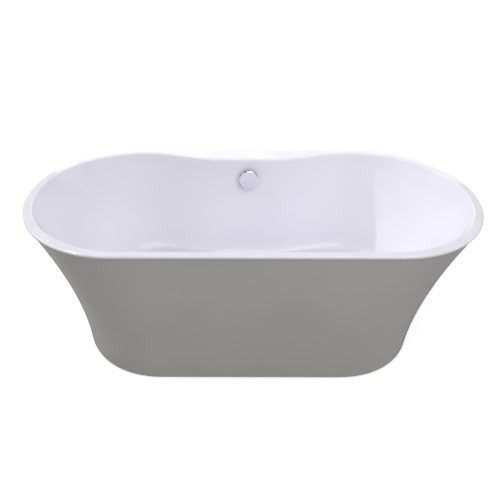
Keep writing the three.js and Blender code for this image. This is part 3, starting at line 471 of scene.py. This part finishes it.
# ---------------------------------------- feet and overflow hose
CORNERS = ("front_left", "front_right", "rear_left", "rear_right")
FOOT_PROFILE = (
    (0.0053, 0.0062), (0.0053, 0.0192), (0.0058, 0.0200), (0.0094, 0.0200), (0.0100, 0.0194),
    (0.0101, 0.0112), (0.0112, 0.0096), (0.0206, 0.0088), (0.0236, 0.0080), (0.0250, 0.0064),
    (0.0250, 0.0016), (0.0245, 0.0004), (0.0235, 0), (0.0210, 0), (0.0206, 0.0008), (0.0184, 0.0008),
    (0.0180, 0), (0.0150, 0), (0.0146, 0.0008), (0.0124, 0.0008), (0.0120, 0), (0.0010, 0))
THREAD_LOW, THREAD_PITCH = 0.0063, 0.0015
THREAD_ROOT, THREAD_CREST = 0.00445, 0.0050
COLLAR_RADIUS, COLLAR_DEPTH, COLLAR_Z = 0.0100, 0.0046, 0.0226
HOSE_OUTER, HOSE_INNER, HOSE_WALL = 0.0188, 0.0172, 0.0012
HOSE_RIBS = 64
HOSE_BEND = 0.070
STRAIGHT_STEPS, BEND_STEPS = 8, 24
HOSE_PULL = 0.55 * HOSE_BEND  # how strongly the straights carry on into the bend
HOSE_FROM_KNOB = (0.041, 0.0325)  # down along the wall, and behind it


def rows_of(piece, pitch, count):
    """Repeats one turn of a thread or hose along Z and joins the turns."""
    modify(piece, "ARRAY", use_relative_offset=False, use_constant_offset=True, count=count,
           constant_offset_displace=(0, 0, pitch), use_merge_vertices=True, merge_threshold=1e-5)


def cap_ends(piece, low, high):
    """Closes the open rings at two heights."""
    bpy.ops.object.mode_set(mode="EDIT")
    for z in (low, high):
        pick(piece, lambda p: abs(p.co.z - z) < 1e-5)
        bpy.ops.mesh.edge_face_add()
    close_up(piece)


def copies(piece, nodes):
    """The piece itself and copies of it, each paired with a node and moved to the middle of its box."""
    made = [piece]
    for _ in nodes[1:]:
        one = piece.copy()
        one.data = piece.data.copy()
        bpy.context.collection.objects.link(one)
        made.append(one)
    for one, node_name in zip(made, nodes):
        low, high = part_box(node_name)
        one.location = ((low[0] + high[0]) / 2, (low[1] + high[1]) / 2, 0)
    return list(zip(made, nodes))


def make_foot_pads():
    """A moulded foot: a chamfered disc with two grooves underneath and a hub that the stem turns in."""
    piece = turned("foot_base", FOOT_PROFILE, sides=40, fill=True)
    for one, name in copies(piece, [f"foot_pad_{corner}" for corner in CORNERS]):
        one.name = name.replace("pad", "base")
        settle(one, BLACK_PLASTIC, name.replace("_pad", ""), "black_plastic", name)


def make_foot_stems():
    """A threaded rod with a six-sided collar to turn it by."""
    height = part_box("foot_stem_front_left")[1][2] - THREAD_LOW
    turns = int(height / THREAD_PITCH)
    piece = turned("foot_bolt", [
        (THREAD_ROOT, THREAD_LOW), (THREAD_CREST, THREAD_LOW + 0.0006),
        (THREAD_CREST, THREAD_LOW + 0.0009), (THREAD_ROOT, THREAD_LOW + THREAD_PITCH)], sides=24)
    rows_of(piece, THREAD_PITCH, turns)
    cap_ends(piece, THREAD_LOW, THREAD_LOW + THREAD_PITCH * turns)
    bpy.ops.mesh.primitive_cylinder_add(vertices=6, radius=COLLAR_RADIUS, depth=COLLAR_DEPTH,
                                        location=(0, 0, COLLAR_Z))
    collar = begin("collar")
    close_up(collar)
    soften(collar, 40, width=0.0005)
    modify(piece, "BOOLEAN", operation="UNION", object=collar, solver="EXACT")
    bpy.data.objects.remove(collar)
    for one, name in copies(piece, [f"foot_stem_{corner}" for corner in CORNERS]):
        one.name = name.replace("stem", "bolt")
        settle(one, ZINC_STEEL, name.replace("_stem", ""), "steel", name)


def make_hose():
    """A corrugated hose, bent along its way down behind the wall and forward to the waste."""
    joint = JOINTS["knob_turn"]
    out = Vector(joint["axis"])
    down = Vector((0, -out.z, out.y))
    forward = Vector((0, -1, 0))
    nut_low, nut_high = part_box("hose_nut_low")
    level = (nut_low[2] + nut_high[2]) / 2
    start = Vector(joint["pos_m"]) + down * HOSE_FROM_KNOB[0] - out * HOSE_FROM_KNOB[1]
    corner = start + down * ((start.z - level) / -down.z)
    before, after = corner - down * HOSE_BEND, corner + forward * HOSE_BEND
    route = [start.lerp(before, i / STRAIGHT_STEPS) for i in range(STRAIGHT_STEPS)]
    towards, away = before + down * HOSE_PULL, after - forward * HOSE_PULL
    for i in range(BEND_STEPS + 1):
        t = i / BEND_STEPS
        route.append(before * (1 - t) ** 3 + towards * 3 * t * (1 - t) ** 2
                     + away * 3 * t * t * (1 - t) + after * t ** 3)
    route.append(Vector((start.x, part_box("overflow_hose")[0][1], level)))
    curve = bpy.data.curves.new("hose_route", "CURVE")
    curve.dimensions = "3D"
    line = curve.splines.new("POLY")
    line.points.add(len(route) - 1)
    for point, place in zip(line.points, route):
        point.co = (*place, 1)
    guide = bpy.data.objects.new("hose_route", curve)
    bpy.context.collection.objects.link(guide)
    pitch = sum((b - a).length for a, b in zip(route, route[1:])) / HOSE_RIBS
    piece = turned("corrugated_hose", [
        (HOSE_INNER, 0), (HOSE_INNER, pitch * 0.2), (HOSE_OUTER, pitch * 0.4), (HOSE_OUTER, pitch * 0.8),
        (HOSE_INNER, pitch)], sides=28)
    rows_of(piece, pitch, HOSE_RIBS)
    modify(piece, "SOLIDIFY", thickness=HOSE_WALL, offset=-1)
    modify(piece, "CURVE", object=guide, deform_axis="POS_Z")
    bpy.data.objects.remove(guide)
    settle(piece, BLACK_PLASTIC, "tub", "black_plastic", "overflow_hose")


# ---------------------------------------- finishes
PLYS_PER_METRE = 435.0
CRYSTALS_PER_METRE = 170.0


def linear(red, green, blue):
    """A colour written from 0 to 255, turned into shares of light."""
    change = lambda c: (c / 255 / 12.92) if c <= 10 else ((c / 255 + 0.055) / 1.055) ** 2.4
    return (change(red), change(green), change(blue), 1)


def group(name, inputs, outputs):
    """Starts a shared effect and returns it with what it is given and what it puts out."""
    tree = bpy.data.node_groups.new(name, "ShaderNodeTree")
    kinds = {"vector": "NodeSocketVector", "value": "NodeSocketFloat", "colour": "NodeSocketColor"}
    for label, kind in inputs:
        tree.interface.new_socket(name=label, in_out="INPUT", socket_type=kinds[kind])
    for label, kind in outputs:
        tree.interface.new_socket(name=label, in_out="OUTPUT", socket_type=kinds[kind])
    return tree, tree.nodes.new("NodeGroupInput").outputs, tree.nodes.new("NodeGroupOutput").inputs


def node(tree, kind, sockets=None, **settings):
    """Adds a node, with each named socket linked to another one or set to a value."""
    made = tree.nodes.new(kind)
    for key, value in settings.items():
        setattr(made, key, value)
    for key, value in (sockets or {}).items():
        if isinstance(value, bpy.types.NodeSocket):
            tree.links.new(value, made.inputs[key])
        else:
            made.inputs[key].default_value = value
    return made


def build_moulded_skin():
    """The soft unevenness of a moulded or sprayed gloss surface."""
    tree, given, out = group("moulded_skin", [
        ("Place", "vector"), ("Fine", "value"), ("Height", "value")], [("Normal", "vector")])
    fine = node(tree, "ShaderNodeTexNoise", {
        "Vector": given["Place"], "Scale": given["Fine"], "Detail": 2.0})
    broad = node(tree, "ShaderNodeTexNoise", {"Vector": given["Place"], "Scale": 9.0, "Detail": 1.0})
    waves = 6.0  # how much deeper the broad unevenness is than the fine one
    both = node(tree, "ShaderNodeMath", {0: broad.outputs["Fac"], 1: waves, 2: fine.outputs["Fac"]},
                operation="MULTIPLY_ADD")
    bump = node(tree, "ShaderNodeBump", {
        "Strength": 1.0, "Distance": given["Height"], "Height": both.outputs[0]})
    tree.links.new(bump.outputs["Normal"], out["Normal"])
    return tree


def build_wiped_gloss():
    """Roughness that drifts between two values, with faint streaks left by wiping."""
    tree, given, out = group("wiped_gloss", [("Place", "vector"), ("Low", "value"), ("High", "value")],
                             [("Roughness", "value")])
    drift = node(tree, "ShaderNodeTexNoise", {"Vector": given["Place"], "Scale": 5.0, "Detail": 4.0})
    drawn = node(tree, "ShaderNodeMapping", {"Vector": given["Place"], "Scale": (3.0, 3.0, 40.0)})
    streaks = node(tree, "ShaderNodeTexNoise", {"Vector": drawn.outputs[0], "Scale": 4.0, "Detail": 5.0})
    joined = node(tree, "ShaderNodeMath", {0: drift.outputs["Fac"], 1: streaks.outputs["Fac"]},
                  operation="MULTIPLY")
    gloss = node(tree, "ShaderNodeMapRange", {
        "Value": joined.outputs[0], "From Min": 0.12, "From Max": 0.42, "To Min": given["Low"],
        "To Max": given["High"]})
    tree.links.new(gloss.outputs["Result"], out["Roughness"])
    return tree


def build_colour_drift():
    """A colour that wanders softly between two close tones."""
    tree, given, out = group("colour_drift", [
        ("Place", "vector"), ("Size", "value"), ("First", "colour"), ("Second", "colour")],
        [("Colour", "colour")])
    noise = node(tree, "ShaderNodeTexNoise", {
        "Vector": given["Place"], "Scale": given["Size"], "Detail": 3.0})
    sharper = node(tree, "ShaderNodeMapRange", {
        "Value": noise.outputs["Fac"], "From Min": 0.3, "From Max": 0.7})
    mix = tree.nodes.new("ShaderNodeMix")
    mix.data_type = "RGBA"
    tree.links.new(sharper.outputs["Result"], mix.inputs[0])
    tree.links.new(given["First"], mix.inputs[6])
    tree.links.new(given["Second"], mix.inputs[7])
    tree.links.new(mix.outputs[2], out["Colour"])
    return tree


def shaded(tree, colour, share):
    """A colour made darker or lighter by a share that varies over the surface."""
    mix = tree.nodes.new("ShaderNodeMix")
    mix.data_type, mix.blend_type = "RGBA", "MULTIPLY"
    mix.inputs[0].default_value = 1
    tree.links.new(colour, mix.inputs[6])
    tree.links.new(share, mix.inputs[7])
    return mix.outputs[2]


def build_ply_layers():
    """Plywood: long grain on the faces, and thin dark glue lines between the layers along the edges."""
    tree, given, out = group(
        "ply_layers", [("Place", "vector"), ("Colour", "colour")], [("Colour", "colour")])
    height = node(tree, "ShaderNodeSeparateXYZ", {0: given["Place"]}).outputs["Z"]
    layers = node(tree, "ShaderNodeMath", {0: height, 1: PLYS_PER_METRE}, operation="MULTIPLY")
    across = node(tree, "ShaderNodeMath", {0: layers.outputs[0]}, operation="FRACT")
    glue = node(tree, "ShaderNodeMapRange", {
        "Value": across.outputs[0], "From Min": 0.80, "From Max": 0.88, "To Min": 1.0, "To Max": 0.55})
    drawn = node(tree, "ShaderNodeMapping", {"Vector": given["Place"], "Scale": (2.5, 55.0, 55.0)})
    lines = node(tree, "ShaderNodeTexNoise", {"Vector": drawn.outputs[0], "Scale": 3.0, "Detail": 6.0})
    grain = node(tree, "ShaderNodeMapRange", {
        "Value": lines.outputs["Fac"], "From Min": 0.3, "From Max": 0.7, "To Min": 0.72, "To Max": 1.08})
    both = node(tree, "ShaderNodeMath", {0: glue.outputs["Result"], 1: grain.outputs["Result"]},
                operation="MULTIPLY")
    tree.links.new(shaded(tree, given["Colour"], both.outputs[0]), out["Colour"])
    return tree


def build_spangle():
    """The flat grey crystals of a zinc coat, each its own shade."""
    tree, given, out = group(
        "spangle", [("Place", "vector"), ("Colour", "colour")], [("Colour", "colour")])
    crystals = node(tree, "ShaderNodeTexVoronoi", {"Vector": given["Place"], "Scale": CRYSTALS_PER_METRE})
    shade = node(tree, "ShaderNodeSeparateColor", {0: crystals.outputs["Color"]})
    spread = node(tree, "ShaderNodeMapRange", {"Value": shade.outputs[0], "To Min": 0.72, "To Max": 1.1})
    tree.links.new(shaded(tree, given["Colour"], spread.outputs["Result"]), out["Colour"])
    return tree


def build_settled_dust():
    """A thin greyish film that lies only where a surface faces up, in soft patches."""
    tree, given, out = group("settled_dust", [
        ("Place", "vector"), ("Colour", "colour"), ("Depth", "value")], [("Colour", "colour")])
    normal = node(tree, "ShaderNodeNewGeometry").outputs["Normal"]
    facing = node(tree, "ShaderNodeSeparateXYZ", {0: normal})
    level = node(tree, "ShaderNodeMapRange", {
        "Value": facing.outputs["Z"], "From Min": 0.75, "From Max": 1.0})
    patches = node(tree, "ShaderNodeTexNoise", {"Vector": given["Place"], "Scale": 14.0, "Detail": 6.0})
    patchy = node(tree, "ShaderNodeMapRange", {
        "Value": patches.outputs["Fac"], "From Min": 0.3, "From Max": 0.7, "To Min": 0.6, "To Max": 1.0})
    lying = node(tree, "ShaderNodeMath", {0: level.outputs["Result"], 1: patchy.outputs["Result"]},
                 operation="MULTIPLY")
    film = node(tree, "ShaderNodeMath", {0: lying.outputs[0], 1: given["Depth"]}, operation="MULTIPLY")
    clear = node(tree, "ShaderNodeMath", {0: 1.0, 1: film.outputs[0]}, operation="SUBTRACT")
    tree.links.new(shaded(tree, given["Colour"], clear.outputs[0]), out["Colour"])
    return tree


MOULDED_SKIN = build_moulded_skin()
WIPED_GLOSS = build_wiped_gloss()
COLOUR_DRIFT = build_colour_drift()
PLY_LAYERS = build_ply_layers()
SPANGLE = build_spangle()
SETTLED_DUST = build_settled_dust()


def use(tree, kit, **sockets):
    """Places a shared effect in a finish and returns what it puts out."""
    made = tree.nodes.new("ShaderNodeGroup")
    made.node_tree = kit
    for key, value in sockets.items():
        if isinstance(value, bpy.types.NodeSocket):
            tree.links.new(value, made.inputs[key])
        else:
            made.inputs[key].default_value = value
    return made.outputs[0]


def finish(name, first, second, gloss, skin, size=3.0, pattern=None, dust=0.0, **shader):
    """A finish: its two tones, the range of its roughness, the fineness and height of its skin, the size
    of its patches, a pattern over its colour, the dust that lies on it, and what is the same all over."""
    material = bpy.data.materials.new(name)
    material.use_nodes = True
    tree = material.node_tree
    surface = tree.nodes["Principled BSDF"]
    place = node(tree, "ShaderNodeTexCoord").outputs["Object"]
    colour = use(tree, COLOUR_DRIFT, Place=place, Size=size, First=first, Second=second)
    if pattern:
        colour = use(tree, pattern, Place=place, Colour=colour)
    if dust:
        colour = use(tree, SETTLED_DUST, Place=place, Colour=colour, Depth=dust)
    tree.links.new(colour, surface.inputs["Base Color"])
    rough = use(tree, WIPED_GLOSS, Place=place, Low=gloss[0], High=gloss[1])
    tree.links.new(rough, surface.inputs["Roughness"])
    normal = use(tree, MOULDED_SKIN, Place=place, Fine=skin[0], Height=skin[1])
    tree.links.new(normal, surface.inputs["Normal"])
    for key, value in shader.items():
        surface.inputs[key.replace("_", " ")].default_value = value
    return material


WHITE_ACRYLIC = finish(
    "white_acrylic", linear(243, 241, 248), linear(238, 237, 245), gloss=(0.06, 0.13),
    skin=(260, 0.000004), dust=0.16, IOR=1.49, Coat_Weight=0.15, Coat_Roughness=0.06)
# The skirt's pale warm grey is partly painted shade: it stands in for the shade that the skirt's front lies in, on
# top of the skirt's own tone.
GREY_AND_PAINTED_SHADE_ACRYLIC = finish(
    "grey_acrylic", linear(203, 200, 195), linear(198, 195, 190), gloss=(0.04, 0.10),
    skin=(260, 0.000005), dust=0.1, IOR=1.49, Coat_Weight=0.25, Coat_Roughness=0.06)
CHROME = finish(
    "chrome", linear(240, 241, 249), linear(234, 236, 245), gloss=(0.03, 0.09), skin=(400, 0.000002),
    Metallic=1.0)
ZINC_STEEL = finish(
    "zinc_steel", linear(168, 172, 176), linear(140, 145, 150), gloss=(0.28, 0.48), skin=(500, 0.00001),
    size=60, pattern=SPANGLE, Metallic=1.0)
PLY_BOARD = finish(
    "ply_board", linear(198, 163, 116), linear(170, 132, 88), gloss=(0.65, 0.85), skin=(220, 0.0002),
    size=14, pattern=PLY_LAYERS)
POLYPROPYLENE = finish(
    "polypropylene", linear(232, 232, 228), linear(222, 222, 217), gloss=(0.38, 0.52),
    skin=(700, 0.00003))
BLACK_PLASTIC = finish(
    "black_plastic", linear(40, 41, 44), linear(30, 31, 34), gloss=(0.45, 0.62), skin=(700, 0.00004))
RUBBER = finish("rubber", linear(30, 30, 32), linear(40, 39, 38), gloss=(0.7, 0.9), skin=(500, 0.00005))
ADHESIVE = finish(
    "adhesive", linear(216, 212, 202), linear(200, 195, 182), gloss=(0.5, 0.7), skin=(90, 0.0004),
    size=30)
FINISHES = {
    "white_acrylic": WHITE_ACRYLIC, "grey_acrylic": GREY_AND_PAINTED_SHADE_ACRYLIC, "chrome": CHROME, "steel": ZINC_STEEL,
    "board": PLY_BOARD, "polypropylene": POLYPROPYLENE, "black_plastic": BLACK_PLASTIC, "rubber": RUBBER,
    "adhesive": ADHESIVE,
}


def finish_frame_nodes():
    """Gives the frame's own pieces their finishes."""
    for part in frame["record"]["subparts"]:
        slots = frame["nodes"][part["node"]].data.materials
        for place in range(len(slots)):
            slots[place] = FINISHES[part["material_slot"]]


# ---------------------------------------- studio
LAMPS = (  # name, place, aim, size, watts
    ("ceiling_spot", (-2.4, 1.8, 4.2), (0, 0, 0.4), (0.12, 0.12), 74),
    ("left_window", (-4.4, 0.6, 3.6), (0, 0, 0.4), (3.2, 3.2), 92),
    ("front_top", (0.8, -1.6, 3.4), (0, 0, 0.4), (3.2, 2.4), 54),
    ("back_window", (0.2, 3.4, 2.05), (0, 0, 0.5), (4.4, 0.9), 19),
    ("front_fill", (2.2, -3.2, 2.2), (0, 0, 0.4), (3.2, 2.2), 17),
    ("right_fill", (4.0, 0.0, 3.0), (0, 0, 0.4), (3.2, 3.2), 25),
)
ROOM_LIGHT, BACKDROP = 0.225, 0.82  # what the room throws on the tub, and how bright it is to look at
FLOOR_BOUNCE, FLOOR_TONE = 0.4, 0.93  # the floor's paleness for bounced light, and to look at
FLOOR_GLOW = (0.42, 0.85)  # near the tub and far from it
GLOW_REACH = (0.7, 3.5)
CAMERA_TILT, CAMERA_TURN = math.radians(36.59), math.radians(0.17)
CAMERA_AIM, CAMERA_DISTANCE = (-0.089, 0.30), 2.11  # the aim's x and z; its y is 0


def studio_floor():
    """A pale floor that glows a little where it is looked at, and throws back less than it seems to."""
    material = bpy.data.materials.new("studio_floor")
    material.use_nodes = True
    tree = material.node_tree
    surface = tree.nodes["Principled BSDF"]
    surface.inputs["Roughness"].default_value = 0.8
    surface.inputs["Specular IOR Level"].default_value = 0.1
    seen = node(tree, "ShaderNodeLightPath").outputs["Is Camera Ray"]
    tone = node(tree, "ShaderNodeMapRange", {"Value": seen, "To Min": FLOOR_BOUNCE, "To Max": FLOOR_TONE})
    place = node(tree, "ShaderNodeTexCoord").outputs["Object"]
    away = node(tree, "ShaderNodeVectorMath", {0: place}, operation="LENGTH")
    lift = node(tree, "ShaderNodeMapRange", {
        "Value": away.outputs["Value"], "From Min": GLOW_REACH[0], "From Max": GLOW_REACH[1],
        "To Min": FLOOR_GLOW[0], "To Max": FLOOR_GLOW[1]})
    glow = node(tree, "ShaderNodeMath", {0: seen, 1: lift.outputs["Result"]}, operation="MULTIPLY")
    tree.links.new(tone.outputs["Result"], surface.inputs["Base Color"])
    surface.inputs["Emission Color"].default_value = (1, 1, 1, 1)
    tree.links.new(glow.outputs[0], surface.inputs["Emission Strength"])
    return material


def make_floor():
    bpy.ops.mesh.primitive_plane_add(size=40, location=(0, 0, -0.0005))
    floor = bpy.context.object
    floor.name = "studio_floor"
    floor.data.materials.append(studio_floor())


def make_room():
    """Even light from all round, with a brighter backdrop where the room is looked at."""
    world = bpy.data.worlds.new("studio")
    world.use_nodes = True
    tree = world.node_tree
    backdrop = tree.nodes["Background"]
    backdrop.inputs["Color"].default_value = (0.96, 0.97, 1, 1)
    seen = node(tree, "ShaderNodeLightPath").outputs["Is Camera Ray"]
    strength = node(tree, "ShaderNodeMapRange", {"Value": seen, "To Min": ROOM_LIGHT, "To Max": BACKDROP})
    tree.links.new(strength.outputs["Result"], backdrop.inputs["Strength"])
    bpy.context.scene.world = world


def make_lamp(name, place, aim, size, watts):
    data = bpy.data.lights.new(name, "AREA")
    data.shape = "RECTANGLE"
    data.size, data.size_y = size
    data.energy = watts
    light = bpy.data.objects.new(name, data)
    light.location = place
    light.rotation_euler = (Vector(aim) - Vector(place)).to_track_quat("-Z", "Y").to_euler()
    bpy.context.collection.objects.link(light)


def make_camera():
    camera = bpy.data.objects.new("camera", bpy.data.cameras.new("camera"))
    bpy.context.collection.objects.link(camera)
    camera.data.lens, camera.data.sensor_width = 36.68, 36
    camera.data.shift_x, camera.data.shift_y = 0.0469, 0.0156
    camera.location = (CAMERA_AIM[0], -CAMERA_DISTANCE * math.cos(CAMERA_TILT),
                       CAMERA_AIM[1] + CAMERA_DISTANCE * math.sin(CAMERA_TILT))
    camera.rotation_euler = (math.pi / 2 - CAMERA_TILT, 0, CAMERA_TURN)
    bpy.context.scene.camera = camera
    bpy.context.scene.view_settings.view_transform = "Standard"


make_floor()
make_room()
for settings in LAMPS:
    make_lamp(*settings)
make_camera()
finish_frame_nodes()
make_skirt()
make_basin()
make_knob()
make_shade_band()
make_seat()
make_flange()
make_plug()
make_foot_pads()
make_foot_stems()
make_hose()
